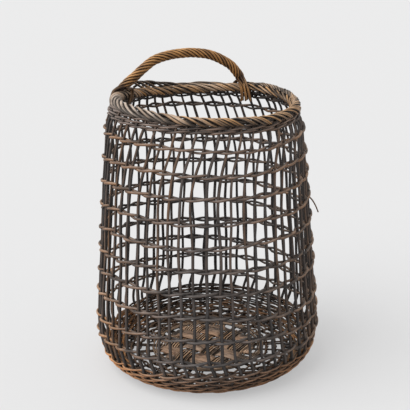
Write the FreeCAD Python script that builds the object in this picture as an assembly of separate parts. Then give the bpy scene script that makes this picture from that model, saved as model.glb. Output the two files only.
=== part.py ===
import FreeCAD, Part
import math
import os

# A round open-work basket of thin rods with one roped handle set off to the back left.
# Millimetres. It stands on z = 0 with its axis on Z; the side shown most faces -Y.
# Plan angles run anticlockwise from +X. Each rod is one solid. To keep the faces few, weavers and
# spokes are three-sided with an edge on top, and other rods four-sided.

# Outline of the wall, along the centre line of a stake
BASE_RADIUS = 113.0
KNEE_RADIUS = 131.0
KNEE_HEIGHT = 13.0
BELLY_RADIUS = 146.0
BELLY_HEIGHT = 50.0
RIM_RADIUS = 116.0
RIM_HEIGHT = 352.0
SHOULDER_OUT = 8.0  # the bend under the border, outside the rim and below it
SHOULDER_DROP = 19.0
LEAN_DROP = 72.0  # from here up to the rim the stakes lean over
FOOT_SWING = math.radians(3.0)  # stakes swing round anticlockwise at the foot and at the top
KNEE_SWING = math.radians(2.5)
BELLY_SWING = math.radians(1.2)
SHOULDER_SWING = math.radians(7.5)
RIM_SWING = math.radians(9.5)

# Rods of the wall
STAKE_PAIRS = 28  # two stakes to a pair, always an even number of pairs
STAKE_SIDE = 2.8
WEAVER_WIDTH = 3.2
WEAVER_DEPTH = 3.0
SEAT_GAP = 0.3  # between rods that bear on each other
TWIST_GAP = 0.3  # between the two weavers of a row where they cross
BAR_OVERRUN = 0.2  # share of the stake pitch that a bar reaches past its two stakes
OPEN_ROWS = 10
SEAM_SHIFT = 20  # stakes from the start of one open row to the start of the next
ROW_MARGIN = 7.0  # first and last open row, from the bends at belly and shoulder
CORNER_ROWS = 4
CORNER_FIRST = 12.0  # lowest close row, along the stake from its foot
CORNER_MARGIN = 8.0  # highest close row, short of the belly
NECK_DROP = 8.5  # the row under the border, below the centre of the border

# Foot and bottom
FOOT_SIDE = 4.0
BASE_HOOP_SIDE = 3.0
SPOKE_SIDE = 2.8
SPOKE_LAP = 12.0  # length of spoke under the plaited mat
BASE_ROWS = 2
BAND_COUNT = 4
BAND_PITCH = 26.0
BAND_WIDTH = 17.0
BAND_THICKNESS = 1.4
BAND_TAIL = 4.0  # what a band runs past its last crossing
BAND_GAP = 0.2
MAT_TURN = math.radians(62.0)

# Rolled border
CORE_SIDE = 2.8
CORE_GAP = 1.0  # between the core and the straight runs of the rods laid over it
BORDER_WIDTH = 4.4
BORDER_THICKNESS = 2.8
WRAP_START = math.radians(205.0)  # round the core, from outward through up
WRAP_STEP = math.radians(-80.0)
WRAP_STEPS = 3
WRAP_ADVANCE = 1.0  # stake pitches along the rim in each step

# Roped handle over the back left of the rim
HANDLE_LEFT = math.radians(165.0)
HANDLE_RIGHT = math.radians(60.0)
HANDLE_RISE = 45.0
HANDLE_FULLNESS = 2.6  # 2 is a parabola, more is squarer
BOW_SIDE = 3.2
STRAND_COUNT = 4
STRAND_SIDE = 3.0
STRAND_RUNS = 9
STRAND_TURNS = 1.5  # quarter turns, so that each leg has a side of the border to itself
STRAND_SPAN = 0.9  # share of the half span where the strands lie on the bow
LEG_SPREAD = 2.6  # each leg from the middle of its foot, along the rim
LEG_RISE = 5.0  # where a leg starts down past the border, above the centre of the border
LEG_DROP = 7.0  # cut end of a leg, below the centre of the border

# Loose end of a weaver on the right side
TAIL_SIDE = 2.2
TAIL_REACH = 14.0
TAIL_DROP = 18.0
TAIL_STAKE = 54
TAIL_ROW = 6
TAIL_BELOW = 8.0

UP = FreeCAD.Vector(0, 0, 1)
STAKE_COUNT = 2 * STAKE_PAIRS
PITCH = 2 * math.pi / STAKE_COUNT
SHOULDER_RADIUS = RIM_RADIUS + SHOULDER_OUT
SHOULDER_HEIGHT = RIM_HEIGHT - SHOULDER_DROP
LEAN_HEIGHT = RIM_HEIGHT - LEAN_DROP


def radial(angle):
    return FreeCAD.Vector(math.cos(angle), math.sin(angle), 0)


def tangential(angle):
    return FreeCAD.Vector(-math.sin(angle), math.cos(angle), 0)


def polar(radius, angle, height):
    return radial(angle) * radius + UP * height


def square(centre, first, second):
    """Corners of a four-sided section, from its two half-side vectors."""
    return [centre + first + second, centre - first + second,
            centre - first - second, centre + first - second]


def wedge(centre, width, depth):
    """Corners of a three-sided section, flat below and with an edge on top."""
    return [centre + width / 2 - depth / 2, centre + depth / 2, centre - width / 2 - depth / 2]


def outline(corners):
    return Part.makePolygon(corners + corners[:1])


def rod(sections):
    """A rod with flat-cut ends through its sections."""
    return Part.makeLoft([outline(corners) for corners in sections], True, True)


def twisted_rod(sections):
    """A rod whose sections turn, each side split on its shorter diagonal into two flat faces."""
    faces = [Part.Face(outline(sections[0])), Part.Face(outline(sections[-1]))]
    for start, end in zip(sections, sections[1:]):
        for corner in range(len(start)):
            following = (corner + 1) % len(start)
            side = [start[corner], start[following], end[following], end[corner]]
            if side[0].distanceToPoint(side[2]) > side[1].distanceToPoint(side[3]):
                side = side[1:] + side[:1]
            faces.append(Part.Face(outline(side[:3])))
            faces.append(Part.Face(outline(side[2:] + side[:1])))
    return Part.makeSolid(Part.makeShell(faces))


def hoop(radius, bottom, side, flats):
    """A bent rod lying level."""
    def ring(flat_radius):
        corner_radius = flat_radius / math.cos(math.pi / flats / 2)
        corners = [polar(corner_radius, 2 * math.pi * flat / flats, bottom) for flat in range(flats)]
        return Part.Wire(outline(corners))
    face = Part.Face([ring(radius + side / 2), ring(radius - side / 2)])
    return face.extrude(UP * side)


def along_path(points, index):
    """Direction of a path of points at one of them."""
    before = points[max(index - 1, 0)]
    after = points[min(index + 1, len(points) - 1)]
    return (after - before).normalize()


def save(name, solids):
    Part.makeCompound(solids).exportStep("parts/" + name + ".step")


os.makedirs("parts", exist_ok=True)

# Stakes: from the foot hoop round the bottom corner, up the bulged wall, to the border core.
lean_share = (LEAN_HEIGHT - BELLY_HEIGHT) / (SHOULDER_HEIGHT - BELLY_HEIGHT)
stake_line = [
    (BASE_RADIUS - FOOT_SIDE / 2, FOOT_SIDE + SEAT_GAP + STAKE_SIDE / 2, FOOT_SWING),
    (KNEE_RADIUS, KNEE_HEIGHT, KNEE_SWING),
    (BELLY_RADIUS, BELLY_HEIGHT, BELLY_SWING),
    (BELLY_RADIUS + lean_share * (SHOULDER_RADIUS - BELLY_RADIUS), LEAN_HEIGHT, 0.0),
    (SHOULDER_RADIUS, SHOULDER_HEIGHT, SHOULDER_SWING),
    (RIM_RADIUS, RIM_HEIGHT - CORE_SIDE / 2 - SEAT_GAP - STAKE_SIDE / 4, RIM_SWING),
]
stake_runs = []
for low, high in zip(stake_line, stake_line[1:]):
    length = math.hypot(high[0] - low[0], high[1] - low[1])
    stake_runs.append((length, (high[0] - low[0]) / length, (high[1] - low[1]) / length))


def stake(number):
    sections = []
    for index, (radius, height, swing) in enumerate(stake_line):
        before = stake_runs[max(index - 1, 0)]
        after = stake_runs[min(index, len(stake_runs) - 1)]
        lean = math.hypot(before[1] + after[1], before[2] + after[2])
        angle = swing + number * PITCH
        outward = radial(angle) * (before[2] + after[2]) - UP * (before[1] + after[1])
        mitre = STAKE_SIDE / lean ** 2
        sections.append(square(polar(radius, angle, height), outward * mitre,
                               tangential(angle) * (STAKE_SIDE / 2)))
    return twisted_rod(sections)


def wall_place(distance):
    """Radius, height, swing and run direction of the stake line, measured from the foot."""
    for index, (length, radial_share, vertical_share) in enumerate(stake_runs):
        if distance <= length:
            break
        distance -= length
    low, high = stake_line[index:index + 2]
    start = polar(low[0], low[2], low[1])
    end = polar(high[0], high[2], high[1])
    point = start + (end - start) * (distance / length)
    radius = math.hypot(point.x, point.y)
    return radius, point.z, math.atan2(point.y, point.x), radial_share, vertical_share


quarter = STAKE_COUNT // 4
for index, side in enumerate(("right", "back", "left", "front")):
    first = index * quarter - quarter // 2
    save("stakes_" + side, [stake(first + number) for number in range(quarter)])

# Weavers: each goes in front of two stakes and behind the next two. In a twined row the two
# weavers turn about each other: a bar starts low, rises past its stakes and goes in on top.
seat = STAKE_SIDE / 2 + WEAVER_WIDTH / 2 + SEAT_GAP
bar_ends = ((-BAR_OVERRUN, 1, -1), (1 + BAR_OVERRUN, 1, 1),
            (2 - BAR_OVERRUN, -1, 1), (3 + BAR_OVERRUN, -1, -1))
chord = math.cos(PITCH / 2) / math.cos(PITCH * (0.5 + BAR_OVERRUN))


def weaver(distance, first_stake, lift):
    radius, height, swing, radial_share, vertical_share = wall_place(distance)
    sections = []
    for wave in range(STAKE_COUNT // 4):
        for step, side, level in bar_ends:
            angle = swing + (first_stake + 4 * wave + step) * PITCH
            outward = radial(angle) * vertical_share - UP * radial_share
            upward = radial(angle) * radial_share + UP * vertical_share
            offset = outward * (side * seat) + upward * (level * lift)
            ring = chord * (radius + offset.dot(radial(angle)))
            sections.append(wedge(polar(ring, angle, height + offset.z),
                                  outward * WEAVER_WIDTH, upward * WEAVER_DEPTH))
    return rod(sections)


corner_length = stake_runs[0][0] + stake_runs[1][0]
wall_length = stake_runs[2][0] + stake_runs[3][0]
row_spacing = (wall_length - 2 * ROW_MARGIN) / (OPEN_ROWS - 1)


def open_row(row):
    return corner_length + ROW_MARGIN + row * row_spacing


for row in range(CORNER_ROWS):
    share = row / (CORNER_ROWS - 1)
    distance = CORNER_FIRST + share * (corner_length - CORNER_MARGIN - CORNER_FIRST)
    save("corner_row_%d" % (row + 1), [weaver(distance, 2 * (row % 2), 0)])

twist_lift = (WEAVER_DEPTH + TWIST_GAP) / 2
for row in range(OPEN_ROWS):
    name = "wall_row_%02d_" % (row + 1)
    seam = SEAM_SHIFT * row + row % 2
    save(name + "leading_weaver", [weaver(open_row(row), seam, twist_lift)])
    save(name + "following_weaver", [weaver(open_row(row), seam + 2, twist_lift)])

stake_length = sum(run[0] for run in stake_runs)
save("neck_row", [weaver(stake_length - NECK_DROP, 0, 0)])

# Foot hoop, flat on the ground, with the spokes of the bottom resting on it between stakes.
save("foot_hoop", [hoop(BASE_RADIUS, 0, FOOT_SIDE, STAKE_PAIRS)])
spoke_height = FOOT_SIDE + SEAT_GAP + SPOKE_SIDE / 2
mat_reach = (BAND_COUNT - 1) / 2 * BAND_PITCH + BAND_WIDTH / 2
mat_radius = math.hypot(mat_reach + BAND_TAIL, mat_reach)
base_hoop_radius = mat_radius + SEAT_GAP + BASE_HOOP_SIDE


def spoke_angle(number):
    return FOOT_SWING + (2 * number + 0.5) * PITCH


def spoke(number):
    angle = spoke_angle(number)
    ends = (mat_radius - SPOKE_LAP, BASE_RADIUS + FOOT_SIDE / 2)
    return rod([wedge(polar(end, angle, spoke_height), tangential(angle) * SPOKE_SIDE, UP * SPOKE_SIDE)
                for end in ends])


def base_row(radius, first_side):
    """A weaver over one spoke and under the next."""
    slope_share = SPOKE_SIDE / (2 * PITCH * radius)
    reach = (SPOKE_SIDE / 2 + WEAVER_DEPTH / 2 + SEAT_GAP) / (1 - slope_share)
    sections = []
    for number in range(STAKE_PAIRS):
        angle = spoke_angle(number)
        side = first_side * (-1) ** number
        sections.append(wedge(polar(radius, angle, spoke_height + side * reach),
                              radial(angle) * WEAVER_WIDTH, UP * WEAVER_DEPTH))
    return rod(sections)


save("base_spokes", [spoke(number) for number in range(STAKE_PAIRS)])
row_inner = base_hoop_radius + BASE_HOOP_SIDE / 2
row_outer = BASE_RADIUS - FOOT_SIDE / 2
for row in range(BASE_ROWS):
    radius = row_inner + (row_outer - row_inner) * (row + 1) / (BASE_ROWS + 1)
    save("base_row_%d" % (row + 1), [base_row(radius, (-1) ** row)])

# Plaited mat on the inner ends of the spokes, bound round by a hoop.
mat_floor = spoke_height + SPOKE_SIDE / 2 + SEAT_GAP
mat_level = mat_floor + BAND_THICKNESS + BAND_GAP / 2
band_lift = (BAND_THICKNESS + BAND_GAP) / 2
save("base_hoop", [hoop(base_hoop_radius, mat_floor, BASE_HOOP_SIDE, STAKE_PAIRS)])


def band(place, turn, first_side):
    """A flat band of the mat, over and under the bands that cross it."""
    lengthwise = radial(turn)
    sideways = tangential(turn)
    offset = (place - (BAND_COUNT - 1) / 2) * BAND_PITCH
    half_length = math.sqrt(mat_radius ** 2 - (abs(offset) + BAND_WIDTH / 2) ** 2)
    flat = BAND_WIDTH / 2 + BAND_GAP
    stops = []
    for crossing in range(BAND_COUNT):
        middle = (crossing - (BAND_COUNT - 1) / 2) * BAND_PITCH
        side = first_side * (-1) ** (place + crossing)
        stops.append((middle - flat, side))
        stops.append((middle + flat, side))
    stops[0] = (-half_length, stops[0][1])
    stops[-1] = (half_length, stops[-1][1])
    return rod([square(lengthwise * stop + sideways * offset + UP * (mat_level + side * band_lift),
                       sideways * (BAND_WIDTH / 2), UP * (BAND_THICKNESS / 2))
                for stop, side in stops])


for place in range(BAND_COUNT):
    save("base_band_long_%d" % (place + 1), [band(place, MAT_TURN, 1)])
    save("base_band_cross_%d" % (place + 1), [band(BAND_COUNT - 1 - place, MAT_TURN + math.pi / 2, 1)])

# Rolled border: rods laid over a core hoop, each from the inside over the top to the outside.
core_bottom = RIM_HEIGHT - CORE_SIDE / 2
save("border_core", [hoop(RIM_RADIUS, core_bottom, CORE_SIDE, STAKE_COUNT)])
wrap_mitre = math.cos(WRAP_STEP / 2)
wrap_radius = (CORE_SIDE / math.sqrt(2) + CORE_GAP + BORDER_THICKNESS / 2) / wrap_mitre
border_reach = math.hypot(wrap_radius + BORDER_THICKNESS / 2 / wrap_mitre, BORDER_WIDTH / 2)


def border_rod(number):
    points = []
    outward = []
    for step in range(WRAP_STEPS + 1):
        angle = RIM_SWING + (number + 0.5 + step * WRAP_ADVANCE) * PITCH
        wrap = WRAP_START + step * WRAP_STEP
        outward.append(radial(angle) * math.cos(wrap) + UP * math.sin(wrap))
        points.append(polar(RIM_RADIUS, angle, RIM_HEIGHT) + outward[-1] * wrap_radius)
    sections = []
    for index, point in enumerate(points):
        sideways = along_path(points, index).cross(outward[index]).normalize()
        sections.append(square(point, outward[index] * (BORDER_THICKNESS / 2 / wrap_mitre),
                               sideways * (BORDER_WIDTH / 2)))
    return twisted_rod(sections)


for index, side in enumerate(("right", "back", "left", "front")):
    first = index * quarter - quarter // 2
    save("border_rods_" + side, [border_rod(first + number) for number in range(quarter)])

# Roped handle: strands laid round a bow, their ends straddling the border at both feet.
foot_left = polar(RIM_RADIUS, HANDLE_LEFT, 0)
foot_right = polar(RIM_RADIUS, HANDLE_RIGHT, 0)
half_span = (foot_right - foot_left) * 0.5
handle_middle = (foot_right + foot_left) * 0.5
handle_side = half_span.cross(UP).normalize()
handle_spring = RIM_HEIGHT + border_reach + SEAT_GAP + BOW_SIDE / 2


def arch(share):
    """Point of the bow, from -1 at the left foot to 1 at the right foot."""
    rise = HANDLE_RISE * (1 - abs(share) ** HANDLE_FULLNESS)
    return handle_middle + half_span * share + UP * (handle_spring + rise)


strand_shares = [STRAND_SPAN * (2 * run / STRAND_RUNS - 1) for run in range(STRAND_RUNS + 1)]
bow_points = [arch(share) for share in [-1] + strand_shares + [1]]
bow_uprights = []
bow_sections = []
for index, point in enumerate(bow_points):
    upright = handle_side.cross(along_path(bow_points, index))
    bow_uprights.append(upright)
    bow_sections.append(square(point, handle_side * (BOW_SIDE / 2), upright * (BOW_SIDE / 2)))
save("handle_bow", [rod(bow_sections)])

turn_step = 2 * math.pi * STRAND_TURNS / STRAND_RUNS
lay_radius = (BOW_SIDE + STRAND_SIDE) / math.sqrt(2) / math.cos(turn_step / 2)
leg_reach = border_reach + SEAT_GAP + STRAND_SIDE / 2
foot_outward = radial(HANDLE_LEFT)
strand_start = math.atan2(foot_outward.dot(bow_uprights[1]), foot_outward.dot(handle_side))


def leg(foot_angle, lie):
    """Points of a strand's end, down the border on the side where the strand lies."""
    side = math.copysign(1, lie.dot(radial(foot_angle)))
    angle = foot_angle + math.copysign(LEG_SPREAD, lie.dot(tangential(foot_angle))) / RIM_RADIUS
    ring = RIM_RADIUS + side * leg_reach
    return [polar(ring, angle, RIM_HEIGHT + LEG_RISE), polar(ring, angle, RIM_HEIGHT - LEG_DROP)]


def handle_strand(number):
    lies = []
    for run in range(STRAND_RUNS + 1):
        turn = strand_start + 2 * math.pi * (number + 0.5) / STRAND_COUNT - run * turn_step
        lies.append(handle_side * math.cos(turn) + bow_uprights[run + 1] * math.sin(turn))
    points = leg(HANDLE_LEFT, lies[0])[::-1]
    for run, lie in enumerate(lies):
        points.append(bow_points[run + 1] + lie * lay_radius)
    points += leg(HANDLE_RIGHT, lies[-1])
    sections = []
    for index, point in enumerate(points):
        course = along_path(points, index)
        across = (handle_side - course * handle_side.dot(course)).normalize()
        sections.append(square(point, across * (STRAND_SIDE / 2),
                               across.cross(course) * (STRAND_SIDE / 2)))
    return twisted_rod(sections)


for number in range(STRAND_COUNT):
    save("handle_strand_%d" % (number + 1), [handle_strand(number)])

# Loose weaver end that pokes out beside a stake.
radius, height, swing, radial_share, vertical_share = wall_place(open_row(TAIL_ROW) - TAIL_BELOW)
tail_angle = swing + TAIL_STAKE * PITCH + (STAKE_SIDE / 2 + SEAT_GAP + TAIL_SIDE / 2) / radius
tail_points = [polar(radius - STAKE_SIDE, tail_angle, height),
               polar(radius + STAKE_SIDE, tail_angle, height - TAIL_DROP / 6),
               polar(radius + TAIL_REACH * 0.8, tail_angle, height - TAIL_DROP / 2),
               polar(radius + TAIL_REACH, tail_angle, height - TAIL_DROP)]
tail_sections = []
for index, point in enumerate(tail_points):
    level = tangential(tail_angle)
    across = along_path(tail_points, index).cross(level)
    tail_sections.append(square(point, level * (TAIL_SIDE / 2), across * (TAIL_SIDE / 2)))
save("weaver_tail", [rod(tail_sections)])
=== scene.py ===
import math

import bpy
import numpy as np
from mathutils import Matrix, Vector


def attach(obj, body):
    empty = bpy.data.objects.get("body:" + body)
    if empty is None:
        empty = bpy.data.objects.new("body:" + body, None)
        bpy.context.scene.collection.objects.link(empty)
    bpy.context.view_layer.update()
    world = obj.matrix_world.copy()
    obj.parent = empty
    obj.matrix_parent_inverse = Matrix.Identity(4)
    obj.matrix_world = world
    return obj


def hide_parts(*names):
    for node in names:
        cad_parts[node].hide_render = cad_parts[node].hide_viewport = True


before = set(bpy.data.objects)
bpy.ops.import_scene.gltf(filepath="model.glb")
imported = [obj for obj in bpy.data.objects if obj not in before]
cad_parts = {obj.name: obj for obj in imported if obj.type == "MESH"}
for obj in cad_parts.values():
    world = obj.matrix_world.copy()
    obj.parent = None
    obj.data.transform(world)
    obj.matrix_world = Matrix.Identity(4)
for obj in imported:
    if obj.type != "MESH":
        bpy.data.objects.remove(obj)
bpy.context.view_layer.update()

# Plaited mat in the middle of the bottom: bundles of fine peeled rods one way and flat split
# wood the other, each going over one and under the next. It is the start of the basket.
MILLIMETRE = 0.001
MAT_TURN = math.radians(62.0)
MAT_LEVEL = 8.9
MAT_RADIUS = 67.0
RAGGED_EDGE = 5.0
BAND_PITCH = 26.0
BAND_COUNT = 4
BAND_WAVE = 1.5
BAND_SQUARENESS = 3
BAND_LEAN = 3.5
BAND_POINTS = 48
FINE_ROD = 1.12
FINE_RODS = 6
FINE_SPACING = 3.5
EDGE_RODS = 3
SPLINTS = 2
EDGE_SPLINTS = 1
SPLINT_SPACING = 11.0
SPLINT_WIDTH = 10.6
SPLINT_THICKNESS = 1.7
SPLINT_CROWN = 0.15
SPLINT_EDGE = np.radians([-75, -25, 25, 75])
CUT_LENGTH = 0.25
CUT_WIDTH = 0.7
# Painted shade: how much darker the sides of rods that face their neighbours are painted, and how much darker
# their inner faces.
GAP_SHADE = 1.35
OPEN_SIDE = 0.95
INNER_SHADE = 0.5
GRAIN_LENGTH = 10


def polar(radius, angle, height):
    """Points in millimetres, from plan angles in radians."""
    radius, angle, height = np.broadcast_arrays(radius, angle, height)
    return np.stack([radius * np.cos(angle), radius * np.sin(angle), height], -1)


def unit(rows):
    return rows / np.linalg.norm(rows, axis=-1, keepdims=True)


def length_along(points):
    """The way travelled along a line, at each of its points."""
    return np.concatenate([[0], np.cumsum(np.linalg.norm(np.diff(points, axis=0), axis=1))])


def smooth_line(knots, count):
    """A smooth curve through its knots."""
    knots = np.asarray(knots, float)
    padded = np.vstack([2 * knots[0] - knots[1], knots, 2 * knots[-1] - knots[-2]])
    place = np.linspace(0, len(knots) - 1, count)
    start = np.minimum(place.astype(int), len(knots) - 2)
    share = (place - start)[:, None]
    before, low, high, after = (padded[start + shift] for shift in range(4))
    return 0.5 * (2 * low + (high - before) * share
                  + (2 * before - 5 * low + 4 * high - after) * share ** 2
                  + (3 * low - before - 3 * high + after) * share ** 3)


def round_rod(points, radii, tone, warmth, sides=8, outward=None, gap_shade=GAP_SHADE):
    """Rings of corners round a bent rod with square-cut ends, with painted shade where it faces its
    neighbours and on its inner side.
    """
    points = np.asarray(points, float)
    radii = np.broadcast_to(radii, len(points)).astype(float)
    tone = np.broadcast_to(tone, len(points)).astype(float)
    warmth = np.broadcast_to(warmth, len(points)).astype(float)
    course = unit(np.gradient(points, axis=0))
    points = np.vstack([points[0] - course[0] * radii[0] * CUT_LENGTH, points,
                        points[-1] + course[-1] * radii[-1] * CUT_LENGTH])
    radii = np.concatenate([[CUT_WIDTH * radii[0]], radii, [CUT_WIDTH * radii[-1]]])
    tone = np.concatenate([tone[:1], tone, tone[-1:]])
    warmth = np.concatenate([warmth[:1], warmth, warmth[-1:]])
    course = np.vstack([course[:1], course, course[-1:]])
    across = np.empty_like(points)
    across[0] = np.cross(course[0], np.eye(3)[np.argmin(np.abs(course[0]))])
    across[0] /= np.linalg.norm(across[0])
    for index in range(1, len(points)):
        carried = across[index - 1] - course[index] * across[index - 1].dot(course[index])
        across[index] = carried / math.sqrt(carried.dot(carried))
    beside = np.cross(course, across)
    turn = 2 * np.pi * np.arange(sides) / sides
    lies = across[:, None] * np.cos(turn)[:, None] + beside[:, None] * np.sin(turn)[:, None]
    tone = np.repeat(tone[:, None], sides, axis=1)
    if outward is not None:
        outward = np.vstack([outward[:1], outward, outward[-1:]])
        openness = (lies * outward[:, None]).sum(-1)
        # Painted shade on the sides that face neighbouring rods and on the side turned inwards.
        tone = tone - gap_shade * np.clip(OPEN_SIDE - np.abs(openness), 0, 1)
        tone = tone - INNER_SHADE * np.clip(-openness, 0, 1)
    return points[:, None] + radii[:, None, None] * lies, tone, warmth


def skin_piece(name, skins):
    """One object from closed skins, with a grain map along each and its tone and warmth."""
    corners, faces, rounded, grain, tones, warmths = [], [], [], [], [], []
    first = 0
    for rings, tone, warmth in skins:
        count, sides = rings.shape[:2]
        run = length_along(rings.mean(axis=1)) / GRAIN_LENGTH
        place = np.arange(count * sides).reshape(count, sides) + first
        beside = np.roll(place, -1, axis=1)
        faces += np.stack([place[:-1], beside[:-1], beside[1:], place[1:]], -1).reshape(-1, 4).tolist()
        faces += [place[0][::-1].tolist(), place[-1].tolist()]
        rounded += [True] * ((count - 1) * sides) + [False] * 2
        low = np.tile(np.arange(sides) / sides, (count - 1, 1))
        high = low + 1 / sides
        start = np.repeat(run[:-1, None], sides, axis=1)
        end = np.repeat(run[1:, None], sides, axis=1)
        grain.append(np.stack([low, start, high, start, high, end, low, end], -1).reshape(-1, 2))
        for cap in (0, -1):
            grain.append(np.column_stack([np.arange(sides) / sides, np.full(sides, run[cap])]))
        corners.append(rings.reshape(-1, 3))
        tones.append(np.broadcast_to(tone.reshape(count, -1), (count, sides)).ravel())
        warmths.append(np.repeat(warmth, sides))
        first += count * sides
    mesh = bpy.data.meshes.new(name)
    mesh.from_pydata((np.vstack(corners) * MILLIMETRE).tolist(), [], faces)
    mesh.polygons.foreach_set("use_smooth", rounded)
    mesh.uv_layers.new(name="grain").data.foreach_set("uv", np.vstack(grain).ravel())
    mesh.attributes.new("tone", "FLOAT", "POINT").data.foreach_set("value", np.concatenate(tones))
    mesh.attributes.new("warmth", "FLOAT", "POINT").data.foreach_set("value", np.concatenate(warmths))
    piece = bpy.data.objects.new(name, mesh)
    bpy.context.collection.objects.link(piece)
    return piece


def flat_splint(points, sideways, width, tone, warmth):
    """Rings of corners round a flat strip with rounded edges, slightly crowned."""
    course = unit(np.gradient(points, axis=0))
    upward = unit(np.cross(course, sideways))
    edge = SPLINT_THICKNESS / 2
    outline = [(width / 2 - edge * (1 - math.cos(turn)), edge * math.sin(turn)) for turn in SPLINT_EDGE]
    mirrored = [(-x, y) for x, y in outline[::-1]]
    outline += [(0.0, edge * (1 + SPLINT_CROWN))] + mirrored + [(0.0, -edge * (1 - SPLINT_CROWN))]
    rings = np.stack([points + sideways * -x + upward * y for x, y in outline], 1)
    return rings, np.broadcast_to(tone, len(points)), np.full(len(points), warmth)


# Surface of a dry rod: streaks along the grain, blotches of patina, warm bark, and tops painted lighter: a
# painted highlight where the surface faces up, in patches like wear.
dry_rod = bpy.data.node_groups.new("dry_rod", "ShaderNodeTree")
for socket in ("Dark", "Light", "Warm", "Silver_Highlight", "Worn_Highlight"):
    dry_rod.interface.new_socket(socket, in_out="INPUT", socket_type="NodeSocketColor")
dry_rod.interface.new_socket("Wear_And_Highlight", in_out="INPUT", socket_type="NodeSocketFloat")
dry_rod.interface.new_socket("Color", in_out="OUTPUT", socket_type="NodeSocketColor")
dry_rod.interface.new_socket("Roughness", in_out="OUTPUT", socket_type="NodeSocketFloat")
dry_rod.interface.new_socket("Height", in_out="OUTPUT", socket_type="NodeSocketFloat")


def add_node(tree, kind, links=(), **settings):
    """A node with its settings made and its inputs linked or set."""
    node = tree.nodes.new(kind)
    for key, value in settings.items():
        setattr(node, key, value)
    for socket, source in links:
        if hasattr(source, "is_output"):
            tree.links.new(source, node.inputs[socket])
        else:
            node.inputs[socket].default_value = source
    return node


given = add_node(dry_rod, "NodeGroupInput").outputs
along = add_node(dry_rod, "ShaderNodeUVMap", uv_map="grain").outputs["UV"]
stretched = add_node(dry_rod, "ShaderNodeMapping", [("Vector", along), ("Scale", (7.0, 0.7, 1.0))])
streaks = add_node(dry_rod, "ShaderNodeTexNoise", [
    ("Vector", stretched.outputs[0]), ("Scale", 1.0), ("Detail", 4.0), ("Roughness", 0.65)]).outputs[0]
place = add_node(dry_rod, "ShaderNodeTexCoord").outputs["Object"]
blotches = add_node(dry_rod, "ShaderNodeTexNoise", [
    ("Vector", place), ("Scale", 55.0), ("Detail", 3.0), ("Roughness", 0.6)]).outputs[0]
specks = add_node(dry_rod, "ShaderNodeTexNoise", [
    ("Vector", place), ("Scale", 900.0), ("Detail", 2.0)]).outputs[0]
tone = add_node(dry_rod, "ShaderNodeAttribute", attribute_name="tone").outputs["Fac"]
warmth = add_node(dry_rod, "ShaderNodeAttribute", attribute_name="warmth").outputs["Fac"]
patina = add_node(dry_rod, "ShaderNodeMath", [(0, streaks), (1, blotches)], operation="ADD").outputs[0]
patina = add_node(dry_rod, "ShaderNodeMath", [(0, patina), (1, 1.3), (2, -1.3)],
                  operation="MULTIPLY_ADD").outputs[0]
level = add_node(dry_rod, "ShaderNodeMath", [(0, patina), (1, tone)], operation="ADD",
                 use_clamp=True).outputs[0]
grey = add_node(dry_rod, "ShaderNodeMix", [(0, level), (6, given["Dark"]), (7, given["Light"])],
                data_type="RGBA").outputs[2]
brown = add_node(dry_rod, "ShaderNodeMix", [(0, level), (6, given["Dark"]), (7, given["Warm"])],
                 data_type="RGBA").outputs[2]
bark = add_node(dry_rod, "ShaderNodeMix", [(0, warmth), (6, grey), (7, brown)], data_type="RGBA").outputs[2]
# Painted highlight: where the surface faces up it turns towards the silver or worn colour, in patches like
# wear, less on dark rods.
facing = add_node(dry_rod, "ShaderNodeSeparateXYZ",
                  [(0, add_node(dry_rod, "ShaderNodeNewGeometry").outputs["Normal"])]).outputs["Z"]
lit_topside = add_node(dry_rod, "ShaderNodeMapRange", [("Value", facing), (1, 0.15), (2, 0.95)]).outputs[0]
rubbed = add_node(dry_rod, "ShaderNodeMapRange", [("Value", patina), (1, -0.25), (2, 0.35)]).outputs[0]
worn_highlight = add_node(dry_rod, "ShaderNodeMath", [(0, lit_topside), (1, rubbed)], operation="MULTIPLY").outputs[0]
worn_highlight = add_node(dry_rod, "ShaderNodeMath", [(0, worn_highlight), (1, given["Wear_And_Highlight"])], operation="MULTIPLY").outputs[0]
highlight_by_tone = add_node(dry_rod, "ShaderNodeMapRange", [("Value", tone), (1, 0.0), (2, 0.6), (3, 0.3)]).outputs[0]
worn_highlight = add_node(dry_rod, "ShaderNodeMath", [(0, worn_highlight), (1, highlight_by_tone)], operation="MULTIPLY").outputs[0]
worn_lit_colour = add_node(dry_rod, "ShaderNodeMix", [(0, warmth), (6, given["Silver_Highlight"]), (7, given["Worn_Highlight"])],
                data_type="RGBA").outputs[2]
surface = add_node(dry_rod, "ShaderNodeMix", [(0, worn_highlight), (6, bark), (7, worn_lit_colour)], data_type="RGBA").outputs[2]
rough = add_node(dry_rod, "ShaderNodeMapRange", [("Value", level), (3, 0.5), (4, 0.42)]).outputs[0]
ridges = add_node(dry_rod, "ShaderNodeMath", [(0, specks), (1, 0.4), (2, streaks)],
                  operation="MULTIPLY_ADD").outputs[0]
add_node(dry_rod, "NodeGroupOutput", [("Color", surface), ("Roughness", rough), ("Height", ridges)])


def rod_finish(name, dark, light, warm, silver_highlight, worn_highlight, wear_and_highlight, bump):
    """A matte material of dry rods from its five linear colours."""
    material = bpy.data.materials.new(name)
    material.use_nodes = True
    tree = material.node_tree
    shader = tree.nodes["Principled BSDF"]
    shader.inputs["Specular IOR Level"].default_value = 0.35
    surface = add_node(tree, "ShaderNodeGroup", node_tree=dry_rod)
    colours = {"Dark": dark, "Light": light, "Warm": warm, "Silver_Highlight": silver_highlight, "Worn_Highlight": worn_highlight}
    for socket, colour in colours.items():
        surface.inputs[socket].default_value = (*colour, 1.0)
    surface.inputs["Wear_And_Highlight"].default_value = wear_and_highlight
    raised = add_node(tree, "ShaderNodeBump", [
        ("Strength", bump), ("Distance", 0.0006), ("Height", surface.outputs["Height"])])
    tree.links.new(surface.outputs["Color"], shader.inputs["Base Color"])
    tree.links.new(surface.outputs["Roughness"], shader.inputs["Roughness"])
    tree.links.new(raised.outputs["Normal"], shader.inputs["Normal"])
    return material


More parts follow.
